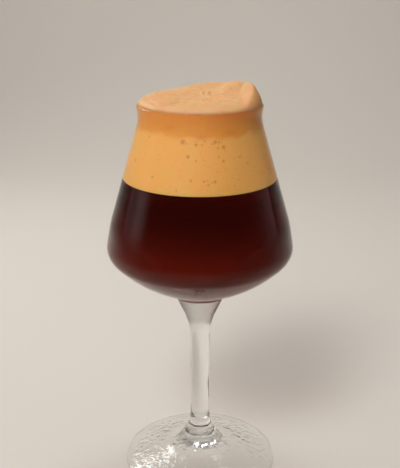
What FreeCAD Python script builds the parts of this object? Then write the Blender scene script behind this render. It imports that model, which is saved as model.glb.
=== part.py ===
import FreeCAD, Part

import math
import os

# A stemmed tulip glass of old ale: the glass, the dark ale in it and the tan foam that
# stands over its lip. Millimetres, +Z up. The origin is on the table under the stem's
# axis, and the glass is round about Z. Three solids, each in a node of its own.

# The glass, overall
glass_height = 197.0       # table to the top of the lip
bowl_height = 97.8         # top of the lip down to where the bowl meets the stem
foot_radius = 40.9
lip_radius = 30.3          # to the middle of the lip's rounded edge

# The bowl's outside: corners of its outline, and the radius that rounds each.
# The last three heights are measured up from where the bowl meets the stem.
waist_radius = 29.8
waist_drop = 6.3           # below the top of the lip
waist_rounding = 16.5
shoulder_inset = 2.75      # the shoulder is this much narrower than the bulge
shoulder_height = 38.4
shoulder_rounding = 55.0
bulge_radius = 48.1        # before rounding, which leaves it 0.7 less
bulge_height = 22.8
bulge_rounding = 9.9
belly_radius = 34.8
belly_height = 9.3
belly_rounding = 70.0

# The stem, drawn out of the bowl's thick bottom and swept into the foot
join_radius = 13.7
join_rounding = 8.0
stem_top_radius = 5.4
stem_top_drop = 17.3       # below where the bowl meets the stem
stem_top_rounding = 33.0
stem_radius = 4.75         # at the thinnest, half-way down the stem
stem_rounding = 200.0
stem_base_radius = 5.5
flare_rounding = 22.0      # sweep of the stem into the foot

# The foot: a thin disc, raised to the middle, and hollowed below to rest on a ring
foot_rise = 12.0           # top of the disc where the stem would meet it unswept
foot_edge = 2.4            # thickness at the outside
foot_edge_rounding = 0.9
resting_ring_width = 3.0
hollow_height = 9.0        # lift of the underside in the middle
hollow_top_radius = 5.0    # the underside is a cone up to here, before rounding
hollow_rounding = 20.0

# Thickness of the glass, from the lip down to the floor of the bowl
lip_thickness = 1.3
wall_thickness = 1.3
bulge_thickness = 1.6
belly_thickness = 2.2
floor_side_thickness = 3.0
floor_thickness = 4.8      # on the axis, above where the bowl meets the stem
floor_rounding = 38.0

# What fills the glass
foam_depth = 36.0          # top of the lip down to the ale
foam_cling = 72.0          # degrees round the inner half of the lip's edge that the foam covers

# The foam's top, in heights above the line where the foam leaves the lip
foam_base_height = 3.5
foam_rise_back = 0.6       # from the middle to the back edge
foam_edge_power = 7.5      # a larger number keeps the top flat further out
# Mounds: middle x and y, height, half-length, half-width, turn of the length in degrees
foam_mounds = [
    (25.2, 0.0, 7.4, 15.0, 5.2, 98.0),
    (16.2, 10.0, 4.4, 9.0, 6.0, 60.0),
    (7.8, 20.0, 4.1, 16.3, 8.0, 0.0),
    (-18.5, -10.0, 1.2, 6.5, 3.6, 12.0),
    (-19.4, 11.0, 1.1, 8.0, 5.0, -35.0),
    (9.0, -3.0, 0.8, 5.0, 3.0, 150.0),
]
# Folds: x and y of the start, x and y of the end, depth of the crease, its half-width
foam_folds = [
    (-26.0, -3.0, -10.0, 3.0, 0.8, 1.3),
    (-10.0, 3.0, 0.0, -6.0, 0.8, 1.3),
    (0.0, -6.0, 8.0, -16.0, 0.7, 1.2),
    (2.0, -5.0, 17.0, -9.0, 0.6, 1.2),
    (16.5, -6.0, 18.0, 5.0, 0.6, 1.4),
    (1.0, 1.0, 3.0, 10.0, 0.5, 1.2),
]
foam_rings = 26            # steps of the modelled top from the middle to the edge
foam_spokes = 80           # and round it
border_tolerance = 0.0001   # how closely the top's border has to meet the plug's

# Heights that follow from the sizes above
bowl_base = glass_height - bowl_height
ale_level = glass_height - foam_depth

axis_foot = FreeCAD.Vector(0, 0, 0)
axis_up = FreeCAD.Vector(0, 0, 1)


def point(radius, height):
    return FreeCAD.Vector(radius, 0, height)


def unit(vector):
    return FreeCAD.Vector(vector).normalize()


def half_angle_at(corners, index):
    before, corner, after = [place for place, _ in corners[index - 1:index + 2]]
    return (before - corner).getAngle(after - corner) / 2


def settled(corners):
    # roundings that would overlap on a leg between two corners give way in proportion
    trims = [0.0]
    for index in range(1, len(corners) - 1):
        trims.append(corners[index][1] / math.tan(half_angle_at(corners, index)))
    trims.append(0.0)
    shares = [1.0]
    for index in range(len(corners) - 1):
        leg = (corners[index + 1][0] - corners[index][0]).Length
        wanted = trims[index] + trims[index + 1]
        shares.append(min(1.0, 0.98 * leg / wanted) if wanted else 1.0)
    shares.append(1.0)
    return [
        (place, rounding * min(shares[index], shares[index + 1]))
        for index, (place, rounding) in enumerate(corners)
    ]


def rounded_edges(corners):
    # straight legs joined by tangent arcs; a corner is (point, rounding), with none at the ends
    corners = settled(corners)
    edges = []
    start = corners[0][0]
    for index in range(1, len(corners) - 1):
        corner, rounding = corners[index]
        half_angle = half_angle_at(corners, index)
        back = unit(corners[index - 1][0] - corner)
        ahead = unit(corners[index + 1][0] - corner)
        trim = rounding / math.tan(half_angle)
        depth = rounding / math.sin(half_angle) - rounding
        arc_start = corner + back * trim
        arc_end = corner + ahead * trim
        arc_middle = corner + unit(back + ahead) * depth
        edges.append(Part.LineSegment(start, arc_start).toShape())
        edges.append(Part.Arc(arc_start, arc_middle, arc_end).toShape())
        start = arc_end
    edges.append(Part.LineSegment(start, corners[-1][0]).toShape())
    return edges


def tangent_point(corner, centre, reach, side):
    # where a line from the corner touches the circle; side 1 is away from the axis, -1 towards it
    offset = centre - corner
    heading = math.atan2(offset.z, offset.x) - side * math.asin(reach / offset.Length)
    length = math.sqrt(offset.Length ** 2 - reach ** 2)
    return corner + point(math.cos(heading), math.sin(heading)) * length


def shifted_corner(before, corner, after, shift_before, shift_after):
    # the corner where the two legs meet once each is moved towards the inside of the bowl
    along_before = unit(corner - before)
    along_after = unit(after - corner)
    inward_before = point(along_before.z, -along_before.x)
    inward_after = point(along_after.z, -along_after.x)
    first = corner + inward_before * shift_before
    second = corner + inward_after * shift_after
    gap = second - first
    cross = along_before.x * along_after.z - along_before.z * along_after.x
    step = (gap.x * along_after.z - gap.z * along_after.x) / cross
    return first + along_before * step


def bowl_corners():
    # the bowl's outside, from the waist down to the stem
    return [
        (point(waist_radius, glass_height - waist_drop), waist_rounding),
        (point(bulge_radius - shoulder_inset, bowl_base + shoulder_height), shoulder_rounding),
        (point(bulge_radius, bowl_base + bulge_height), bulge_rounding),
        (point(belly_radius, bowl_base + belly_height), belly_rounding),
        (point(join_radius, bowl_base), join_rounding),
    ]


def lip_centre():
    return point(lip_radius, glass_height - lip_thickness / 2)


def lip_end(corner, side):
    return tangent_point(corner, lip_centre(), lip_thickness / 2, side)


def outside_corners():
    # from the lip down the bowl, the stem and the foot, to the inside of the resting ring
    bowl = bowl_corners()
    stem_top_height = bowl_base - stem_top_drop
    stem_middle_height = (stem_top_height + foot_rise) / 2
    ring_inside = foot_radius - foot_edge_rounding - resting_ring_width
    return [(lip_end(bowl[0][0], 1), 0)] + bowl + [
        (point(stem_top_radius, stem_top_height), stem_top_rounding),
        (point(stem_radius, stem_middle_height), stem_rounding),
        (point(stem_base_radius, foot_rise), flare_rounding),
        (point(foot_radius, foot_edge), foot_edge_rounding),
        (point(foot_radius, 0), foot_edge_rounding),
        (point(ring_inside, 0), 0),
    ]


def inside_corners():
    # the inside of the bowl, from the lip down to the floor on the axis
    thicknesses = [
        lip_thickness, wall_thickness, bulge_thickness, belly_thickness, floor_side_thickness]
    outer = settled(outside_corners())[:len(thicknesses) + 1]
    corners = []
    for index in range(1, len(thicknesses)):
        before, corner, after = [place for place, _ in outer[index - 1:index + 2]]
        moved = shifted_corner(before, corner, after, thicknesses[index - 1], thicknesses[index])
        pinched = 1 if index == 1 else -1
        corners.append((moved, outer[index][1] + pinched * thicknesses[index]))
    floor_height = bowl_base + floor_thickness
    slope = outer[-1][0] - outer[-2][0]
    belly = corners[-1][0]
    run = (floor_height - belly.z) / slope.z
    corners.append((belly + slope * run, floor_rounding))
    corners.append((point(0, floor_height), 0))
    return [(lip_end(corners[0][0], -1), 0)] + corners


def revolved(edges):
    wire = Part.Wire(Part.__sortEdges__(edges))
    return Part.Face(wire).revolve(axis_foot, axis_up, 360)


def underside_edges(ring_inside):
    # a blunt cone from the resting ring to the axis
    return rounded_edges([
        (point(ring_inside, 0), 0),
        (point(hollow_top_radius, hollow_height), hollow_rounding),
        (point(0, hollow_height), 0),
    ])


def make_glass():
    outside = outside_corners()
    inside = inside_corners()
    waist_middle = (outside[1][0] + inside[1][0]) / 2
    lip_top = lip_centre() + unit(lip_centre() - waist_middle) * (lip_thickness / 2)
    edges = rounded_edges(outside)
    edges.extend(underside_edges(outside[-1][0].x))
    edges.append(Part.LineSegment(point(0, hollow_height), inside[-1][0]).toShape())
    edges.extend(rounded_edges(inside))
    edges.append(Part.Arc(inside[0][0], lip_top, outside[0][0]).toShape())
    return revolved(edges)


def lip_place(degrees):
    # a place on the inner half of the lip's edge; 90 degrees is its top
    angle = math.radians(degrees)
    return lip_centre() + point(-math.cos(angle), math.sin(angle)) * (lip_thickness / 2)


def make_cavity():
    # everything inside the bowl, up to where the foam leaves the lip
    inside = inside_corners()
    foam_edge = lip_place(foam_cling)
    middle = point(0, foam_edge.z)
    edges = rounded_edges(inside)
    edges.append(Part.Arc(inside[0][0], lip_place(foam_cling / 2), foam_edge).toShape())
    edges.append(Part.LineSegment(foam_edge, middle).toShape())
    edges.append(Part.LineSegment(middle, inside[-1][0]).toShape())
    return revolved(edges)


def layer(cavity, low, high):
    # the part of the cavity between two heights
    reach = bulge_radius * 2
    slab = Part.makeBox(2 * reach, 2 * reach, high - low, FreeCAD.Vector(-reach, -reach, low))
    return cavity.common(slab).Solids[0]


def mound_height(x, y, mound):
    middle_x, middle_y, height, half_length, half_width, turn = mound
    angle = math.radians(turn)
    along = (x - middle_x) * math.cos(angle) + (y - middle_y) * math.sin(angle)
    across = (y - middle_y) * math.cos(angle) - (x - middle_x) * math.sin(angle)
    return height * math.exp(-(along / half_length) ** 2 - (across / half_width) ** 2)


def fold_height(x, y, fold):
    # a crease with a raised lip along its left-hand side
    start_x, start_y, end_x, end_y, depth, half_width = fold
    run_x = end_x - start_x
    run_y = end_y - start_y
    length = math.hypot(run_x, run_y)
    along = ((x - start_x) * run_x + (y - start_y) * run_y) / length
    across = ((y - start_y) * run_x - (x - start_x) * run_y) / length
    beyond = max(0.0, -along, along - length)
    crease = math.exp(-(across / half_width) ** 2)
    raised = 0.6 * math.exp(-((across - 1.9 * half_width) / half_width) ** 2)
    return depth * (raised - crease) * math.exp(-(beyond / half_width) ** 2)


def foam_height(x, y, edge_radius):
    # above the line where the foam leaves the wall; nothing at the edge, where it turns upright
    share = min(1.0, math.hypot(x, y) / edge_radius)
    height = foam_base_height + foam_rise_back * y / edge_radius
    height += sum(mound_height(x, y, mound) for mound in foam_mounds)
    height += sum(fold_height(x, y, fold) for fold in foam_folds)
    return height * math.sqrt(1 - share ** foam_edge_power)


def foam_top(edge_radius, edge_height):
    # a smooth surface over rings of control points, closer together towards the edge
    spoke_angle = 2 * math.pi / foam_spokes
    drawn_in = (2 + math.cos(spoke_angle)) / 3
    poles = []
    for ring in range(foam_rings + 1):
        share = math.sin(math.pi / 2 * ring / foam_rings)
        row = []
        for spoke in range(foam_spokes):
            angle = (spoke - 1) * spoke_angle
            x = share * edge_radius * math.cos(angle)
            y = share * edge_radius * math.sin(angle)
            height = edge_height + foam_height(x, y, edge_radius)
            row.append(FreeCAD.Vector(x / drawn_in, y / drawn_in, height))
        poles.append(row)
    ring_knots = list(range(foam_rings - 1))
    ring_mults = [4] + [1] * (foam_rings - 3) + [4]
    spoke_knots = list(range(foam_spokes + 1))
    spoke_mults = [1] * (foam_spokes + 1)
    surface = Part.BSplineSurface()
    surface.buildFromPolesMultsKnots(
        poles, ring_mults, spoke_mults, ring_knots, spoke_knots, False, True, 3, 3)
    return surface.toShape()


def make_foam(cavity):
    # a plug that fills the glass to where the foam leaves it, and the dome above, joined into one
    foam_edge = lip_place(foam_cling)
    plug = layer(cavity, ale_level, foam_edge.z)
    top = foam_top(foam_edge.x, foam_edge.z)
    border = max(top.Edges, key=lambda edge: edge.Length)
    skin = Part.makeShell([top, Part.Face(Part.Wire([border]))])
    skin.sewShape(border_tolerance)
    return plug.fuse([Part.Solid(skin)], border_tolerance).Solids[0]


def export_node(name, shape):
    shape.exportStep(os.path.join("parts", name + ".step"))
    size = shape.optimalBoundingBox()
    print(name, "valid:", shape.isValid(), "volume in ml:", round(shape.Volume / 1000, 2))
    print("  width", round(size.XLength, 2), "from", round(size.ZMin, 2), "up to", round(size.ZMax, 2))


def main():
    os.makedirs("parts", exist_ok=True)
    cavity = make_cavity()
    export_node("glass", make_glass())
    export_node("ale", layer(cavity, bowl_base, ale_level))
    export_node("foam", make_foam(cavity))


main()
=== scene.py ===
# A stemmed tulip glass of old ale with a lopsided head of tan foam. Metres, +Z up.
import math
import random

import bpy
import numpy as np
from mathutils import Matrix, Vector


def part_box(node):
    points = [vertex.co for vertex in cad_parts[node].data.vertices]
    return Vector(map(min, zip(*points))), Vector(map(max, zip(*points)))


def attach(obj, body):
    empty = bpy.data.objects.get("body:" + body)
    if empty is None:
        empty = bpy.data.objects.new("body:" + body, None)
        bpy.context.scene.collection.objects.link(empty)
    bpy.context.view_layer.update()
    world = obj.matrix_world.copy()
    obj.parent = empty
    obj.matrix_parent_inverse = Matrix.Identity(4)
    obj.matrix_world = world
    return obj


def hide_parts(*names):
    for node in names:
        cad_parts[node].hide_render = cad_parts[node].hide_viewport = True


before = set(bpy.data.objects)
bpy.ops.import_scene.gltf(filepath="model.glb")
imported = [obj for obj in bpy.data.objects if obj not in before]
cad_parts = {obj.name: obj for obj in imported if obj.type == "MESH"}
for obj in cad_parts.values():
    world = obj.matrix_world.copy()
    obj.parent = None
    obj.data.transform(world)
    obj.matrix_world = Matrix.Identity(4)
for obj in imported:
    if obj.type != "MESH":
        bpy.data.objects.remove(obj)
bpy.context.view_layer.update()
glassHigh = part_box("glass")[1]
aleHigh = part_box("ale")[1]
print("frame loaded, glass", round(glassHigh.z, 4), "m high")


def meshPiece(name, points, faces):
    mesh = bpy.data.meshes.new(name)
    mesh.from_pydata([tuple(p) for p in points], [], faces)
    mesh.update()
    mesh.shade_smooth()
    piece = bpy.data.objects.new(name, mesh)
    bpy.context.scene.collection.objects.link(piece)
    return piece


def joinRows(counts):
    # faces between rings of points that follow each other; a ring of 1 is a pole, and a ring may
    # have the same, twice or half the points of the one before it
    faces = []
    start = 0
    for here, there in zip(counts, counts[1:]):
        other = start + here
        many, few = (start, other) if here >= there else (other, start)
        most, least = max(here, there), min(here, there)
        for i in range(least if least > 1 else most):
            if least == 1:
                loop = [many + i, many + (i + 1) % most, few]
                faces.append(loop if here >= there else loop[::-1])
            elif most == least:
                j = (i + 1) % most
                faces.append([start + i, start + j, other + j, other + i])
            else:
                j = (i + 1) % least
                a, b, c = many + 2 * i, many + 2 * i + 1, many + (2 * i + 2) % most
                loops = [[a, b, few + i], [b, c, few + j, few + i]]
                faces += loops if here >= there else [loop[::-1] for loop in loops]
        start = other
    return faces


def lathe(name, outline, sides):
    # turns an outline of (radius, height) points round the Z axis; it starts and ends on the axis and
    # runs with the solid on its left
    points, counts = [], []
    for radius, height in outline:
        count = sides if radius > 1e-7 else 1
        counts.append(count)
        for i in range(count):
            angle = 2 * math.pi * i / sides
            points.append((radius * math.cos(angle), radius * math.sin(angle), height))
    return meshPiece(name, points, joinRows(counts))


def halfAngle(before, corner, after):
    return (before - corner).angle(after - corner) / 2


def settled(corners):
    # roundings that would overlap on a leg give way in proportion
    places = [c[0] for c in corners]
    trims = [0.0] * len(corners)
    for i in range(1, len(corners) - 1):
        trims[i] = corners[i][1] / math.tan(halfAngle(*places[i - 1:i + 2]))
    shares = [1.0]
    for i in range(len(corners) - 1):
        wanted = trims[i] + trims[i + 1]
        leg = (places[i + 1] - places[i]).length
        shares.append(min(1.0, 0.98 * leg / wanted) if wanted else 1.0)
    shares.append(1.0)
    return [(p, r * min(shares[i], shares[i + 1])) for i, (p, r) in enumerate(corners)]


def arcPoints(centre, start, end, step):
    first = math.atan2(*(start - centre).yx)
    turn = math.remainder(math.atan2(*(end - centre).yx) - first, 2 * math.pi)
    reach = (start - centre).length
    steps = max(3, math.ceil(abs(turn) / math.radians(4)), math.ceil(abs(turn) * reach / step))
    angles = [first + turn * i / steps for i in range(steps + 1)]
    return [centre + reach * Vector((math.cos(a), math.sin(a))) for a in angles]


def legPoints(start, end, step):
    steps = max(1, math.ceil((end - start).length / step))
    return [start.lerp(end, i / steps) for i in range(steps + 1)]


def roundedLine(corners, step):
    # straight legs joined by tangent arcs, as points no further apart than the step
    corners = settled(corners)
    line = []
    start = corners[0][0]
    for i in range(1, len(corners) - 1):
        corner, rounding = corners[i]
        half = halfAngle(corners[i - 1][0], corner, corners[i + 1][0])
        back = (corners[i - 1][0] - corner).normalized()
        ahead = (corners[i + 1][0] - corner).normalized()
        trim = rounding / math.tan(half)
        centre = corner + (back + ahead).normalized() * rounding / math.sin(half)
        line += legPoints(start, corner + back * trim, step)
        line += arcPoints(centre, corner + back * trim, corner + ahead * trim, step)
        start = corner + ahead * trim
    line += legPoints(start, corners[-1][0], step)
    return withoutRepeats(line)


def withoutRepeats(line):
    kept = [line[0]]
    for p in line[1:]:
        if (p - kept[-1]).length > 1e-6:
            kept.append(p)
    return kept


def touchPoint(corner, centre, reach, side):
    # where a line from the corner touches a circle; side 1 is away from the axis
    offset = centre - corner
    heading = math.atan2(offset.y, offset.x) - side * math.asin(reach / offset.length)
    length = math.sqrt(offset.length ** 2 - reach ** 2)
    return corner + length * Vector((math.cos(heading), math.sin(heading)))


def shiftedCorner(before, corner, after, shiftBefore, shiftAfter):
    # the corner once each of its legs is moved towards the inside of the bowl
    alongBefore = (corner - before).normalized()
    alongAfter = (after - corner).normalized()
    first = corner + Vector((alongBefore.y, -alongBefore.x)) * shiftBefore
    second = corner + Vector((alongAfter.y, -alongAfter.x)) * shiftAfter
    gap = second - first
    cross = alongBefore.x * alongAfter.y - alongBefore.y * alongAfter.x
    return first + alongBefore * (gap.x * alongAfter.y - gap.y * alongAfter.x) / cross


glass = {
    "lipRadius": 0.0303, "lipThickness": 0.0013,
    # corners of the outside: radius, height above where the bowl meets the stem, rounding
    "bowlBase": 0.0992,
    "waist": (0.0298, 0.0915, 0.0165),
    "shoulder": (0.04535, 0.0384, 0.055),
    "bulge": (0.0481, 0.0228, 0.0099),
    "belly": (0.0348, 0.0093, 0.070),
    "join": (0.0137, 0.0, 0.008),
    "stemTop": (0.0054, -0.0173, 0.033),
    "stemRadius": 0.00475, "stemRounding": 0.200,
    "stemBaseRadius": 0.0055, "flareRounding": 0.022,
    "footRadius": 0.0409, "footRise": 0.012, "footEdge": 0.0024, "footEdgeRounding": 0.0009,
    "restingRing": 0.003, "hollowHeight": 0.009, "hollowTop": 0.005, "hollowRounding": 0.02,
    "thicknesses": (0.0013, 0.0013, 0.0016, 0.0022, 0.003),   # lip, wall, bulge, belly, floor side
    "floorThickness": 0.0048, "floorRounding": 0.038,
    "step": 0.0012, "sides": 192,
}


def glassCorners():
    g = glass
    corners = []
    for name in ("waist", "shoulder", "bulge", "belly", "join", "stemTop"):
        radius, height, rounding = g[name]
        corners.append((Vector((radius, g["bowlBase"] + height)), rounding))
    middle = (corners[-1][0].y + g["footRise"]) / 2
    ringInside = g["footRadius"] - g["footEdgeRounding"] - g["restingRing"]
    corners += [
        (Vector((g["stemRadius"], middle)), g["stemRounding"]),
        (Vector((g["stemBaseRadius"], g["footRise"])), g["flareRounding"]),
        (Vector((g["footRadius"], g["footEdge"])), g["footEdgeRounding"]),
        (Vector((g["footRadius"], 0)), g["footEdgeRounding"]),
        (Vector((ringInside, 0)), 0),
    ]
    return [(lipEnd(corners[0][0], 1), 0)] + corners


def lipCentre():
    return Vector((glass["lipRadius"], glassHigh.z - glass["lipThickness"] / 2))


def lipPlace(degrees, reach):
    # a place on the inner half of the lip's edge; 90 degrees is its top
    angle = math.radians(degrees)
    return lipCentre() + Vector((-math.cos(angle), math.sin(angle))) * reach


def lipEnd(corner, side):
    return touchPoint(corner, lipCentre(), glass["lipThickness"] / 2, side)


def insideCorners():
    thick = glass["thicknesses"]
    outer = settled(glassCorners())[:len(thick) + 1]
    corners = []
    for i in range(1, len(thick)):
        places = [c[0] for c in outer[i - 1:i + 2]]
        moved = shiftedCorner(*places, thick[i - 1], thick[i])
        corners.append((moved, outer[i][1] + (thick[i] if i == 1 else -thick[i])))
    floor = glass["bowlBase"] + glass["floorThickness"]
    slope = outer[-1][0] - outer[-2][0]
    belly = corners[-1][0]
    corners.append((belly + slope * (floor - belly.y) / slope.y, glass["floorRounding"]))
    corners.append((Vector((0, floor)), 0))
    return [(lipEnd(corners[0][0], -1), 0)] + corners


def insideLine(step):
    # the wetted side of the bowl, from the lip down to the axis
    return roundedLine(insideCorners(), step)


def glassOutline():
    g = glass
    inside = insideLine(g["step"])[::-1]
    outside = roundedLine(glassCorners(), g["step"])
    waist = (glassCorners()[1][0] + insideCorners()[1][0]) / 2
    lipTop = lipCentre() + (lipCentre() - waist).normalized() * g["lipThickness"] / 2
    overLip = arcPoints(lipCentre(), inside[-1], lipTop, g["step"])
    overLip += arcPoints(lipCentre(), lipTop, outside[0], g["step"])
    blunt = Vector((g["hollowTop"], g["hollowHeight"]))
    middle = Vector((0, g["hollowHeight"]))
    under = roundedLine([(outside[-1], 0), (blunt, g["hollowRounding"]), (middle, 0)], g["step"])
    return withoutRepeats(inside + overLip + outside + under)[::-1]


def makeGlass():
    piece = lathe("stemmedGlass", glassOutline(), glass["sides"])
    piece.data.materials.append(clearGlass("clearGlass", glassLook["glare"]))
    piece.data.materials.append(clearGlass("wettedGlass", glassLook["wettedGlare"]))
    piece.data.materials.append(clearGlass("bowlGlass", glassLook["bowlGlare"]))
    lipInside = insideCorners()[0][0]
    floor = glass["bowlBase"] + glass["floorThickness"] - 0.0005
    for face in piece.data.polygons:
        outward = Vector((face.center.x, face.center.y, 0)).dot(face.normal) > 0
        if floor < face.center.z < lipInside.y and not outward:
            face.material_index = 1
        elif face.center.z > glass["bowlBase"]:
            face.material_index = 2
    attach(piece, "root")
    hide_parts("glass")
    return piece


ale = {
    "intoWall": 0.00015, "step": 0.001, "sides": 192, "ior": 1.35, "glare": 0.12,
    "absorption": (0.62, 0.14, 0.03, 1), "density": 115.0,
    # a painted red glow in place of light shining through the lower ale: its colour, how much at the top and
    # at the bottom, and the heights
    "paintedGlow": (0.27, 0.019, 0.007, 1), "paintedGlowTop": 0.05, "paintedGlowBottom": 0.42, "paintedGlowFrom": 0.153, "paintedGlowTo": 0.112,
}


def wallLine(low, high, step, intoWall):
    # the inside of the bowl between two heights, pushed into the glass, from the top down
    line = insideLine(step)
    pushed = []
    for i, p in enumerate(line):
        along = (line[min(i + 1, len(line) - 1)] - line[max(i - 1, 0)]).normalized()
        outward = Vector((-along.y, along.x)) if p.x > 1e-6 else Vector((0, -1))
        pushed.append(p + outward * intoWall)
    ends = []
    for height in (high, low):
        for a, b in zip(pushed, pushed[1:]):
            if a.y >= height > b.y:
                ends.append(a.lerp(b, (a.y - height) / (a.y - b.y)))
                break
    body = [p for p in pushed if low + step / 4 < p.y < high - step / 4]
    return ends[:1] + body + (ends[1:] if len(ends) > 1 else [])


def makeAle():
    wall = wallLine(-1, aleHigh.z, ale["step"], ale["intoWall"])
    wall[-1].x = 0
    surface = [Vector((wall[0].x * share, aleHigh.z)) for share in (0.92, 0.75, 0.5, 0.25, 0)]
    piece = lathe("oldAle", wall[::-1] + surface, ale["sides"])
    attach(piece, "root")
    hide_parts("ale")
    return piece


foam = {
    "cling": 72,               # degrees round the inner half of the lip's edge that the foam covers
    "intoWall": 0.00015, "intoAle": 0.0002,
    "baseHeight": 0.0035, "riseBack": 0.0006, "edgePower": 7.5,
    # middle x and y, height, half-length, half-width, turn in degrees
    "mounds": [
        (0.0252, 0.0, 0.0074, 0.0150, 0.0052, 98), (0.0162, 0.010, 0.0044, 0.0090, 0.0060, 60),
        (0.0078, 0.020, 0.0041, 0.0163, 0.0080, 0), (-0.0185, -0.010, 0.0012, 0.0065, 0.0036, 12),
        (-0.0194, 0.011, 0.0011, 0.0080, 0.0050, -35), (0.009, -0.003, 0.0008, 0.0050, 0.0030, 150),
        (-0.0170, -0.0150, 0.0010, 0.0055, 0.0024, 8), (-0.0100, -0.0010, -0.0012, 0.0050, 0.0022, -10),
        (0.0011, 0.0062, 0.0008, 0.0026, 0.0010, 95), (0.0037, 0.0060, 0.0008, 0.0026, 0.0010, 85),
        (0.0185, 0.0065, 0.0006, 0.0012, 0.0010, 0), (0.0135, -0.0040, 0.0009, 0.0050, 0.0014, 12),
        (0.0120, -0.0088, 0.0009, 0.0055, 0.0014, -8), (0.0225, -0.0150, 0.0008, 0.0060, 0.0022, 75),
        (-0.0060, 0.0100, 0.0009, 0.0060, 0.0026, 25), (0.0080, 0.0040, -0.0006, 0.0040, 0.0020, 30),
    ],
    # the points a crease runs through, its depth, its half-width
    "creases": [
        ([(-0.0236, -0.0120), (-0.0193, -0.0197), (-0.0161, -0.0206), (-0.0125, -0.0180), (-0.0095, -0.0150)],
         0.00060, 0.0008),
        ([(-0.0240, 0.0060), (-0.0214, 0.0010), (-0.0156, 0.0010)], 0.00050, 0.0009),
        ([(-0.0092, 0.0000), (-0.0051, -0.0021), (0.0011, -0.0104)], 0.00050, 0.0007),
        ([(0.0011, -0.0104), (0.0042, -0.0174), (0.0073, -0.0236)], 0.00065, 0.0006),
        ([(0.0011, -0.0104), (0.0048, -0.0056), (0.0105, -0.0057)], 0.00045, 0.0006),
        ([(-0.0085, -0.0098), (-0.0040, -0.0092), (0.0011, -0.0104)], 0.00035, 0.0007),
        ([(0.0057, -0.0036), (0.0125, 0.0008), (0.0178, -0.0008)], 0.00045, 0.0007),
        ([(0.0056, -0.0114), (0.0084, -0.0136), (0.0131, -0.0113)], 0.00040, 0.0006),
        ([(0.0202, 0.0026), (0.0178, 0.0031), (0.0155, 0.0040)], 0.00060, 0.0007),
        ([(0.0205, 0.0060), (0.0194, -0.0011), (0.0197, -0.0117), (0.0206, -0.0190)], 0.00045, 0.0013),
        ([(0.0023, 0.0085), (0.0024, 0.0036)], 0.00040, 0.0006),
    ],
    "creaseSink": 0.8, "creaseLip": 0.45, "creaseLipAt": 2.1,   # a soft lip runs along both its sides
    "creaseShade": 0.4, "creaseFull": 0.0006,                    # how much painted shade darkens it, and at what depth
    "wander": 0.0006, "wanderWidth": 0.0042, "fadeWidth": 0.0055,   # how far it strays, how it comes and goes
    "uneven": (0.00016, 0.0040),   # height and width of the slight waves all over the top
    # bubbles against the glass: degrees round, height, radius
    "pits": [
        (-104.7, 0.1845, 0.00105), (-93.2, 0.1834, 0.00065), (-88.4, 0.1834, 0.00040),
        (-86.0, 0.1851, 0.00045), (-77.0, 0.1845, 0.00070), (-73.7, 0.1844, 0.00050),
        (-69.9, 0.1821, 0.00075), (-74.9, 0.1819, 0.00045), (-99.8, 0.1782, 0.00070),
        (-93.0, 0.1765, 0.00042), (-74.7, 0.1780, 0.00040), (-71.1, 0.1761, 0.00055),
        (-56.3, 0.1770, 0.00048), (-49.7, 0.1738, 0.00040), (-128.0, 0.1677, 0.00050),
        (-96.9, 0.1678, 0.00048), (-87.2, 0.1675, 0.00040), (-78.9, 0.1673, 0.00060),
        (-83.8, 0.1661, 0.00042), (-107.1, 0.1631, 0.00035), (-101.5, 0.1838, 0.00035),
        (-79.8, 0.1838, 0.00035), (-84.6, 0.1678, 0.00032), (-81.2, 0.1670, 0.00030),
    ],
    "morePits": 46, "pitSeed": 7,   # spread over the back and the far sides
    # the pits sink into the foam and are painted darker, painted shade inside the bubbles; the smears are
    # darkened too
    "pitDepth": 0.8, "pitSlope": 0.35, "pitShade": 0.8, "smearTone": 0.28,
    "smears": [(-117.0, 0.1905, 0.0030), (-62.0, 0.1880, 0.0035), (-90.0, 0.1868, 0.0030)],
    "neckFrom": 0.1862, "neckSoft": 0.0030, "neckWaves": 0.0011,   # the darker foam in the neck, partly its own tone and partly painted shade under the lip
    "spokes": 448, "rowStep": 0.0004, "topRows": 118, "edgeCrowding": 1.35,
}


def waves(x, y, width):
    # slow swells in every direction, always the same: the way, closeness and start of each
    swells = [(0.3, 1.0, 0.2), (1.4, 1.3, 1.7), (2.3, 0.8, 4.1), (2.9, 1.6, 2.6), (0.9, 2.1, 5.2)]
    total = 0
    for turn, stretch, start in swells:
        along = x * math.cos(turn) + y * math.sin(turn)
        total = total + np.sin(along * stretch * math.pi / width + start)
    return total / 3


def creaseDepth(x, y):
    # how far each place is sunk by the creases, and how much painted shade the crease lays on it, from 0 to 1
    f = foam
    sunk, share = 0 * x, 0 * x
    driftX = f["wander"] * waves(x, y, f["wanderWidth"])
    driftY = f["wander"] * waves(y + 0.013, x, f["wanderWidth"])
    x, y = x + driftX, y + driftY
    for line, depth, width in f["creases"]:
        depth = depth * np.clip(0.8 + 0.35 * waves(y, x, f["fadeWidth"]), 0.3, 1.15)
        nearest = np.full_like(x, 1.0)
        for (startX, startY), (endX, endY) in zip(line, line[1:]):
            runX, runY = endX - startX, endY - startY
            along = ((x - startX) * runX + (y - startY) * runY) / (runX ** 2 + runY ** 2)
            along = np.clip(along, 0, 1)
            away = np.hypot(x - startX - along * runX, y - startY - along * runY)
            nearest = np.minimum(nearest, away)
        groove = np.exp(-(nearest / width) ** 2)
        lips = f["creaseLip"] * np.exp(-((nearest - f["creaseLipAt"] * width) / width) ** 2)
        sunk = sunk + f["creaseSink"] * depth * (groove - lips)
        share = np.maximum(share, f["creaseShade"] * groove * depth / f["creaseFull"])
    return sunk, share


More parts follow.
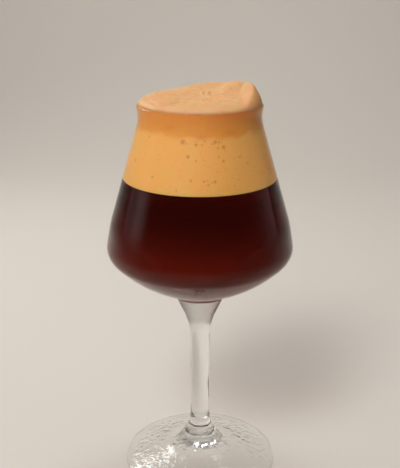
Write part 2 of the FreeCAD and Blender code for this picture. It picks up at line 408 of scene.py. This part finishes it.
def foamHeight(x, y, edgeRadius):
    f = foam
    height = f["baseHeight"] + f["riseBack"] * y / edgeRadius
    for midX, midY, rise, halfLength, halfWidth, turn in f["mounds"]:
        c, s = math.cos(math.radians(turn)), math.sin(math.radians(turn))
        along = (x - midX) * c + (y - midY) * s
        across = (y - midY) * c - (x - midX) * s
        height = height + rise * np.exp(-(along / halfLength) ** 2 - (across / halfWidth) ** 2)
    rise, width = f["uneven"]
    return height + rise * waves(x, y, width)


def allPits():
    # the ones in the list, and others like them where the list leaves the foam bare
    picked = random.Random(foam["pitSeed"])
    pits = list(foam["pits"])
    for i in range(foam["morePits"]):
        low, high = ((0.1815, 0.1855), (0.166, 0.1805), (0.1655, 0.1685))[i % 3]
        size = 0.0003 + 0.0005 * picked.random() ** 3
        pits.append((picked.uniform(-38, 222), picked.uniform(low, high), size))
    return pits


def foamRows():
    # rings from the bottom's middle out, up the wall, round the lip and in over the top; each has its radius
    # and height, and on the top how far out it is, from 0 to 1
    f = foam
    inside = insideLine(f["rowStep"])
    wallTop = inside[0].y - f["rowStep"] / 2
    wall = wallLine(aleHigh.z - f["intoAle"], wallTop, f["rowStep"], f["intoWall"])[::-1]
    lipStart = lipCentre() + (inside[0] - lipCentre()) * (1 - 2 * f["intoWall"] / glass["lipThickness"])
    held = glass["lipThickness"] / 2 - f["intoWall"]
    wall += arcPoints(lipCentre(), lipStart, lipPlace(f["cling"], held), f["rowStep"])
    edge = foamEdge()
    rows = [(wall[0].x * share, wall[0].y, None) for share in (0, 0.05, 0.1, 0.2, 0.4, 0.6, 0.8)]
    rows += [(p.x, p.y, None) for p in wall]
    for i in range(f["topRows"] + 1):
        share = 1 - (i / f["topRows"]) ** f["edgeCrowding"]
        rows.append((edge.x * share, edge.y, share))
    return rows


def foamEdge():
    return lipPlace(foam["cling"], glass["lipThickness"] / 2)


def aroundFrom(angle, degrees):
    # the turn from a place on the wall, between minus half a turn and half a turn
    return np.remainder(angle - math.radians(degrees) + math.pi, 2 * math.pi) - math.pi


def pitsAt(angle, radius, height, pits):
    # how far a ring on the wall is sunk by the pits, and how dark the pits' painted shade and the smears make
    # it
    f = foam
    sunk, shadeAndSmears = np.zeros(len(angle)), np.zeros(len(angle))
    for degrees, pitHeight, size in pits:
        off = np.hypot(aroundFrom(angle, degrees) * radius, height - pitHeight) / size
        deepest = min(f["pitDepth"] * f["intoWall"], f["pitSlope"] * size)
        sunk = np.maximum(sunk, deepest * np.clip(1.15 - off ** 2, 0, 1))
        shadeAndSmears = np.maximum(shadeAndSmears, f["pitShade"] * np.clip(1.5 - off, 0, 1))
    for degrees, pitHeight, size in f["smears"]:
        across = (aroundFrom(angle, degrees) * radius / size) ** 2
        upright = ((height - pitHeight) / (0.4 * size)) ** 2
        shadeAndSmears = np.maximum(shadeAndSmears, f["smearTone"] * np.exp(-across - upright))
    return sunk, shadeAndSmears


def neckAt(angle, radius, height):
    # how much of a ring lies in the darker band, partly painted shade under the lip, whose lower edge is wavy
    f = foam
    start = f["neckFrom"] + f["neckWaves"] * waves(radius * angle, height + 0 * angle, 0.007)
    neck = np.clip((height - start) / f["neckSoft"] + 0.5, 0, 1)
    return neck * neck * (3 - 2 * neck)


def spokesAt(radius, widest):
    # fewer points round the rings near the middle
    count = 1 if radius < 1e-7 else foam["spokes"]
    while count > 10 and radius / widest < 0.5 * count / foam["spokes"]:
        count //= 2
    return count


def makeFoam():
    f = foam
    rows, edge, pits = foamRows(), foamEdge(), allPits()
    base = rows[0][1]
    points, counts, shadeAndSmearsPerPoint, necks, sides = [], [], [], [], []
    for radius, height, share in rows:
        count = spokesAt(radius, edge.x)
        counts.append(count)
        angle = 2 * np.pi * np.arange(count) / count
        x, y = radius * np.cos(angle), radius * np.sin(angle)
        z = np.full(count, height)
        shadeAndSmears, neck = np.zeros(count), np.zeros(count)
        if share is not None:
            sunk, shadeAndSmears = creaseDepth(x, y)
            rise = foamHeight(x, y, edge.x) - sunk * (1 - share ** 8)
            z = edge.y + rise * math.sqrt(1 - min(1, share) ** f["edgePower"])
        elif height > base + f["rowStep"]:
            sunk, shadeAndSmears = pitsAt(angle, radius, height, pits)
            x, y = (radius - sunk) * np.cos(angle), (radius - sunk) * np.sin(angle)
            neck = neckAt(angle, radius, height)
        points += list(zip(x, y, z))
        shadeAndSmearsPerPoint += list(shadeAndSmears)
        necks += list(neck)
        sides += [0.0 if share is not None else 1.0] * count
    piece = meshPiece("foamHead", points, joinRows(counts))
    for name, values in (("shadeAndSmears", shadeAndSmearsPerPoint), ("neck", necks), ("side", sides)):
        layer = piece.data.attributes.new(name, "FLOAT", "POINT")
        layer.data.foreach_set("value", np.array(values, dtype=np.float32))
    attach(piece, "root")
    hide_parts("foam")
    return piece


def newMaterial(name):
    material = bpy.data.materials.new(name)
    material.use_nodes = True
    tree = material.node_tree
    tree.nodes.clear()
    return material, tree


def addNode(tree, kind, inputs=None, **settings):
    node = tree.nodes.new(kind)
    for key, value in settings.items():
        setattr(node, key, value)
    for key, value in (inputs or {}).items():
        if isinstance(value, bpy.types.NodeSocket):
            tree.links.new(value, node.inputs[key])
        else:
            node.inputs[key].default_value = value
    return node


def ranged(tree, value, low, high, first=0.0, last=1.0, **settings):
    # the value brought from low..high to first..last
    inputs = {0: value, 1: low, 2: high, 3: first, 4: last}
    return addNode(tree, "ShaderNodeMapRange", inputs, **settings).outputs[0]


def combined(tree, operation, *values):
    return addNode(tree, "ShaderNodeMath", dict(enumerate(values)), operation=operation).outputs[0]


def letLampsThrough(tree, shader, tint):
    # lamps and diffuse light pass straight through, so that what stands inside is lit
    path = addNode(tree, "ShaderNodeLightPath")
    either = combined(tree, "MAXIMUM", path.outputs["Is Shadow Ray"], path.outputs["Is Diffuse Ray"])
    clear = addNode(tree, "ShaderNodeBsdfTransparent", {"Color": tint})
    return addNode(tree, "ShaderNodeMixShader", {0: either, 1: shader, 2: clear.outputs[0]})


glassLook = {
    "color": (0.985, 0.99, 0.985, 1), "ior": 1.5, "roughness": 0.0,
    # streaks drawn out along the stem and foot: how close, how much longer than wide, strength and depth
    "streakScale": 330.0, "streakStretch": 0.16, "streakStrength": 0.9, "streakDepth": 0.00036,
    "streaksTo": 0.094, "goneAt": 0.104,   # heights between which they fade out
    "swellScale": 55.0, "swellStrength": 0.25, "swellDepth": 0.0004,
    # the bowl keeps a soft glare over the dark ale, and hardly any where ale or foam touches it
    "glare": 1.0, "wettedGlare": 0.12, "bowlGlare": 0.28,
}


def clearGlass(name, glare):
    # drawn glass is never quite even, most of all along the stem
    g = glassLook
    material, tree = newMaterial(name)
    place = addNode(tree, "ShaderNodeTexCoord").outputs["Object"]
    drawn = addNode(tree, "ShaderNodeMapping", {"Vector": place, "Scale": (1.0, 1.0, g["streakStretch"])})
    streaks = addNode(tree, "ShaderNodeTexNoise", {
        "Vector": drawn.outputs[0], "Scale": g["streakScale"], "Detail": 2.0})
    swells = addNode(tree, "ShaderNodeTexNoise", {"Vector": place, "Scale": g["swellScale"], "Detail": 1.0})
    height = addNode(tree, "ShaderNodeSeparateXYZ", {0: place}).outputs["Z"]
    below = ranged(tree, height, g["streaksTo"], g["goneAt"], 1.0, 0.0)
    streaky = combined(tree, "MULTIPLY", streaks.outputs["Fac"], below)
    fine = addNode(tree, "ShaderNodeBump", {
        "Strength": g["streakStrength"], "Distance": g["streakDepth"], "Height": streaky})
    bump = addNode(tree, "ShaderNodeBump", {
        "Strength": g["swellStrength"], "Distance": g["swellDepth"], "Height": swells.outputs["Fac"],
        "Normal": fine.outputs[0]})
    shader = addNode(tree, "ShaderNodeBsdfPrincipled", {
        "Base Color": g["color"], "Transmission Weight": 1.0, "IOR": g["ior"], "Roughness": g["roughness"],
        "Specular Tint": (glare, glare, glare, 1), "Normal": bump.outputs[0]})
    mix = letLampsThrough(tree, shader.outputs[0], g["color"])
    addNode(tree, "ShaderNodeOutputMaterial", {"Surface": mix.outputs[0]})
    return material


def aleLiquid():
    material, tree = newMaterial("aleLiquid")
    glare = ale["glare"]
    shader = addNode(tree, "ShaderNodeBsdfPrincipled", {
        "Base Color": (1, 1, 1, 1), "Transmission Weight": 1.0, "IOR": ale["ior"], "Roughness": 0.0,
        "Specular Tint": (glare, glare, glare, 1)})
    place = addNode(tree, "ShaderNodeTexCoord").outputs["Object"]
    height = addNode(tree, "ShaderNodeSeparateXYZ", {0: place}).outputs["Z"]
    # the lower ale gets a diffuse red as a painted glow, stronger towards the bottom, standing in for light
    # shining through it
    amount = ranged(tree, height, ale["paintedGlowTo"], ale["paintedGlowFrom"], ale["paintedGlowBottom"], ale["paintedGlowTop"],
                    interpolation_type="SMOOTHSTEP")
    paintedGlow = addNode(tree, "ShaderNodeBsdfDiffuse", {"Color": ale["paintedGlow"]})
    withPaintedGlow = addNode(tree, "ShaderNodeMixShader", {0: amount, 1: shader.outputs[0], 2: paintedGlow.outputs[0]})
    mix = letLampsThrough(tree, withPaintedGlow.outputs[0], (1, 1, 1, 1))
    body = addNode(tree, "ShaderNodeVolumeAbsorption", {
        "Color": ale["absorption"], "Density": ale["density"]})
    addNode(tree, "ShaderNodeOutputMaterial", {"Surface": mix.outputs[0], "Volume": body.outputs[0]})
    return material


fineBubbles = {
    # places of single bubbles on the foam's top, then how many more lie about, and their sizes
    "placed": [(-0.0107, -0.0075, 0.00042), (0.0182, 0.0020, 0.00030), (0.0030, -0.0150, 0.00024)],
    "more": 40, "seed": 12, "sizes": (0.00010, 0.00024), "around": 14, "up": 4,
}


def addDome(points, faces, x, y, ground, size):
    around, up = fineBubbles["around"], fineBubbles["up"]
    first = len(points)
    for row in range(up):
        lift = math.pi / 2 * row / up - 0.35
        for i in range(around):
            turn = 2 * math.pi * i / around
            reach, height = size * math.cos(lift), size * math.sin(lift)
            points.append((x + reach * math.cos(turn), y + reach * math.sin(turn), ground + height))
    points.append((x, y, ground + size))
    for row in range(up - 1):
        for i in range(around):
            here, there = first + row * around, first + (row + 1) * around
            after = (i + 1) % around
            faces.append([here + i, here + after, there + after, there + i])
    last = first + (up - 1) * around
    for i in range(around):
        faces.append([last + i, last + (i + 1) % around, len(points) - 1])
    faces.append([first + i for i in range(around)][::-1])


def makeFineBubbles():
    # small clear domes half sunk in the foam, all in one piece
    b = fineBubbles
    picked = random.Random(b["seed"])
    edge = foamEdge()
    spots = list(b["placed"])
    while len(spots) < len(b["placed"]) + b["more"]:
        reach, turn = edge.x * 0.9 * math.sqrt(picked.random()), picked.uniform(0, 2 * math.pi)
        spots.append((reach * math.cos(turn), reach * math.sin(turn), picked.uniform(*b["sizes"])))
    points, faces = [], []
    for x, y, size in spots:
        place = np.array([x]), np.array([y])
        share = math.hypot(x, y) / edge.x
        rise = foamHeight(*place, edge.x) - creaseDepth(*place)[0] * (1 - share ** 8)
        ground = edge.y + rise[0] * math.sqrt(1 - share ** foam["edgePower"])
        addDome(points, faces, x, y, ground, size)
    piece = meshPiece("fineBubbles", points, faces)
    piece.data.materials.append(bubbleFilm())
    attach(piece, "root")
    return piece


foamLook = {
    # top and side are one foam coloured apart: the top is painted darker to cancel the stronger light it
    # gets, the side brighter and more orange
    "top": (0.475, 0.266, 0.107, 1), "topDeep": (0.41, 0.218, 0.081, 1),
    # the neck colour is partly the foam's own tone, partly painted shade under the lip
    # the pit colour is painted shade, inside the bubbles against the glass and in the creases
    "side": (0.84, 0.435, 0.107, 1), "neck": (0.78, 0.32, 0.046, 1), "pit": (0.56, 0.20, 0.030, 1),
    "cloudScale": 130.0, "cellScale": 1900.0, "speckScale": 520.0, "grain": 0.22, "specks": 0.40,
    "roughness": 0.55, "cellDepth": 0.00015,
    "scatter": 0.8, "scatterReach": 0.006, "scatterColors": (1.0, 0.32, 0.10),   # how deep light goes in
}


def mixTones(tree, share, first, second):
    return addNode(tree, "ShaderNodeMix", {0: share, 6: first, 7: second}, data_type="RGBA").outputs[2]


def bubbleFilm():
    # a wet film over the foam below it
    material, tree = newMaterial("bubbleFilm")
    place = addNode(tree, "ShaderNodeTexCoord").outputs["Object"]
    cloud = addNode(tree, "ShaderNodeTexNoise", {"Vector": place, "Scale": 900.0})
    # the foam top's colours, painted darker than the side to cancel the top's stronger light
    tone = mixTones(tree, cloud.outputs["Fac"], foamLook["top"], foamLook["topDeep"])
    shader = addNode(tree, "ShaderNodeBsdfPrincipled", {
        "Base Color": tone, "Roughness": 0.08, "Coat Weight": 0.6, "Coat Roughness": 0.03})
    addNode(tree, "ShaderNodeOutputMaterial", {"Surface": shader.outputs[0]})
    return material


def tanFoam():
    f = foamLook
    material, tree = newMaterial("tanFoam")
    place = addNode(tree, "ShaderNodeTexCoord").outputs["Object"]
    cloud = addNode(tree, "ShaderNodeTexNoise", {
        "Vector": place, "Scale": f["cloudScale"], "Detail": 5.0, "Roughness": 0.6})
    patch = ranged(tree, cloud.outputs["Fac"], 0.32, 0.68)
    cells = addNode(tree, "ShaderNodeTexVoronoi", {
        "Vector": place, "Scale": f["cellScale"], "Randomness": 1.0})
    grain = ranged(tree, cells.outputs["Distance"], 0.05, 0.75, 0.0, f["grain"])
    sparse = addNode(tree, "ShaderNodeTexVoronoi", {
        "Vector": place, "Scale": f["speckScale"], "Randomness": 1.0})
    dots = ranged(tree, sparse.outputs["Distance"], 0.10, 0.20, f["specks"], 0.0)
    side = addNode(tree, "ShaderNodeAttribute", attribute_name="side").outputs["Fac"]
    specks = combined(tree, "MULTIPLY", dots, side)   # painted shade of small bubbles, only where the foam touches the glass
    neck = addNode(tree, "ShaderNodeAttribute", attribute_name="neck").outputs["Fac"]
    shadeAndSmears = addNode(tree, "ShaderNodeAttribute", attribute_name="shadeAndSmears").outputs["Fac"]
    tone = mixTones(tree, patch, f["top"], f["topDeep"])
    # the side against the glass is coloured brighter than the top: painted light that evens out the top's
    # stronger lighting
    tone = mixTones(tree, side, tone, f["side"])
    # the neck band: partly the foam's own darker tone, partly painted shade under the lip
    tone = mixTones(tree, neck, tone, f["neck"])
    tone = mixTones(tree, grain, tone, f["neck"])
    tone = mixTones(tree, specks, tone, f["pit"])
    # painted shade in the pits and creases, and the darker smears
    tone = mixTones(tree, shadeAndSmears, tone, f["pit"])
    bump = addNode(tree, "ShaderNodeBump", {
        "Strength": 0.25, "Distance": f["cellDepth"], "Height": cells.outputs["Distance"]}, invert=True)
    shader = addNode(tree, "ShaderNodeBsdfPrincipled", {
        "Base Color": tone, "Roughness": f["roughness"], "Subsurface Weight": f["scatter"],
        "Subsurface Radius": f["scatterColors"], "Subsurface Scale": f["scatterReach"],
        "Normal": bump.outputs[0]})
    addNode(tree, "ShaderNodeOutputMaterial", {"Surface": shader.outputs[0]})
    return material


stage = {
    "floorColor": (0.54, 0.495, 0.44), "floorRoughness": 0.8,
    "front": -2.0, "back": 1.2, "bend": 0.6, "top": 1.6, "half": 2.5,
    # the light all round: its colour, how strong in front and behind, and where it changes over
    "worldColor": (0.95, 0.97, 1.0), "worldFront": 0.05, "worldBack": 0.36,
    "worldTilt": 0.15, "dimTo": -0.35, "brightFrom": 0.5,
}
lamps = {
    # place, aim, size across and up, power
    "keyAbove": ((-0.24, -0.48, 0.76), (0, 0, 0.16), (0.42, 0.42), 5.3),
    "streakLeft": ((-0.62, -0.06, 0.24), (0, 0, 0.15), (0.36, 0.42), 0.10),
    "fillRight": ((0.60, -0.25, 0.70), (0, 0, 0.14), (0.4, 0.4), 0.25),
    "rimBehind": ((-0.38, 0.42, 0.50), (0, 0, 0.13), (0.25, 0.35), 1.2),
    "backdrop": ((0.0, 0.35, 1.15), (0, 0.9, 0.2), (1.2, 0.5), 9),
}
lampFade = {"from": 0.05, "to": 0.5, "boost": 3.3}   # from a lamp's middle to its edge
view = {"place": (0, -0.395, 0.2635), "pitchDown": 18.6, "focal": 818.0, "tall": 468, "sensor": 36.0}


def makeStage():
    s = stage
    line = [(s["front"], 0.0), (s["back"] - s["bend"], 0.0)]
    for i in range(1, 25):
        turn = math.pi / 2 * i / 24
        line.append((s["back"] - s["bend"] + s["bend"] * math.sin(turn), s["bend"] * (1 - math.cos(turn))))
    line.append((s["back"], s["top"]))
    points = [(side * s["half"], y, z) for y, z in line for side in (-1, 1)]
    faces = [[2 * i, 2 * i + 1, 2 * i + 3, 2 * i + 2] for i in range(len(line) - 1)]
    sweep = meshPiece("paleSweep", points, faces)
    material, tree = newMaterial("palePaper")
    shader = addNode(tree, "ShaderNodeBsdfPrincipled", {
        "Base Color": (*s["floorColor"], 1), "Roughness": s["floorRoughness"], "Specular IOR Level": 0.1})
    addNode(tree, "ShaderNodeOutputMaterial", {"Surface": shader.outputs[0]})
    sweep.data.materials.append(material)
    world = bpy.data.worlds.new("studio")
    bpy.context.scene.world = world
    world.use_nodes = True
    # dim in front of the glass, so that its wall stays clear, and brighter behind and above it
    tree = world.node_tree
    back = tree.nodes["Background"]
    place = addNode(tree, "ShaderNodeTexCoord").outputs["Generated"]
    way = addNode(tree, "ShaderNodeSeparateXYZ", {0: place})
    lean = combined(tree, "MULTIPLY_ADD", way.outputs["Z"], s["worldTilt"], way.outputs["Y"])
    level = ranged(tree, lean, s["dimTo"], s["brightFrom"], s["worldFront"], s["worldBack"],
                   interpolation_type="SMOOTHSTEP")
    back.inputs["Color"].default_value = (*s["worldColor"], 1)
    tree.links.new(level, back.inputs["Strength"])


def softenEdges(data):
    # a softbox is brightest in the middle, so its reflection fades out at the sides
    data.use_nodes = True
    tree = data.node_tree
    tree.nodes.clear()
    spot = addNode(tree, "ShaderNodeNewGeometry")
    apart = addNode(tree, "ShaderNodeSeparateXYZ", {0: spot.outputs["Parametric"]})
    fades = []
    for side in ("X", "Y"):
        off = combined(tree, "SUBTRACT", apart.outputs[side], 0.5)
        away = combined(tree, "ABSOLUTE", off)
        fades.append(ranged(tree, away, lampFade["from"], lampFade["to"], 1.0, 0.0,
                            interpolation_type="SMOOTHSTEP"))
    both = combined(tree, "MULTIPLY", *fades)
    glow = combined(tree, "MULTIPLY", both, lampFade["boost"])
    light = addNode(tree, "ShaderNodeEmission", {"Strength": glow})
    addNode(tree, "ShaderNodeOutputLight", {0: light.outputs[0]})


def makeLamps():
    for name, (place, aim, size, power) in lamps.items():
        data = bpy.data.lights.new(name, "AREA")
        data.shape = "RECTANGLE"
        data.size, data.size_y = size
        data.energy = power
        softenEdges(data)
        lamp = bpy.data.objects.new(name, data)
        lamp.location = place
        lamp.rotation_euler = (Vector(aim) - Vector(place)).to_track_quat("-Z", "Y").to_euler()
        bpy.context.scene.collection.objects.link(lamp)


def makeCamera():
    data = bpy.data.cameras.new("camera")
    data.sensor_width = view["sensor"]
    data.lens = view["focal"] / view["tall"] * view["sensor"]
    data.clip_start = 0.01
    camera = bpy.data.objects.new("camera", data)
    camera.location = view["place"]
    camera.rotation_euler = (math.radians(90 - view["pitchDown"]), 0, 0)
    bpy.context.scene.collection.objects.link(camera)
    bpy.context.scene.camera = camera


scene = bpy.context.scene
scene.view_settings.view_transform = "Standard"
scene.cycles.transparent_max_bounces = 24
scene.cycles.caustics_refractive = False
scene.cycles.caustics_reflective = False

makeStage()
makeLamps()
makeCamera()
print("stage, lamps and camera ready")
makeGlass()
print("glass turned")
makeAle().data.materials.append(aleLiquid())
makeFoam().data.materials.append(tanFoam())
makeFineBubbles()
print("ale, foam and fine bubbles made")
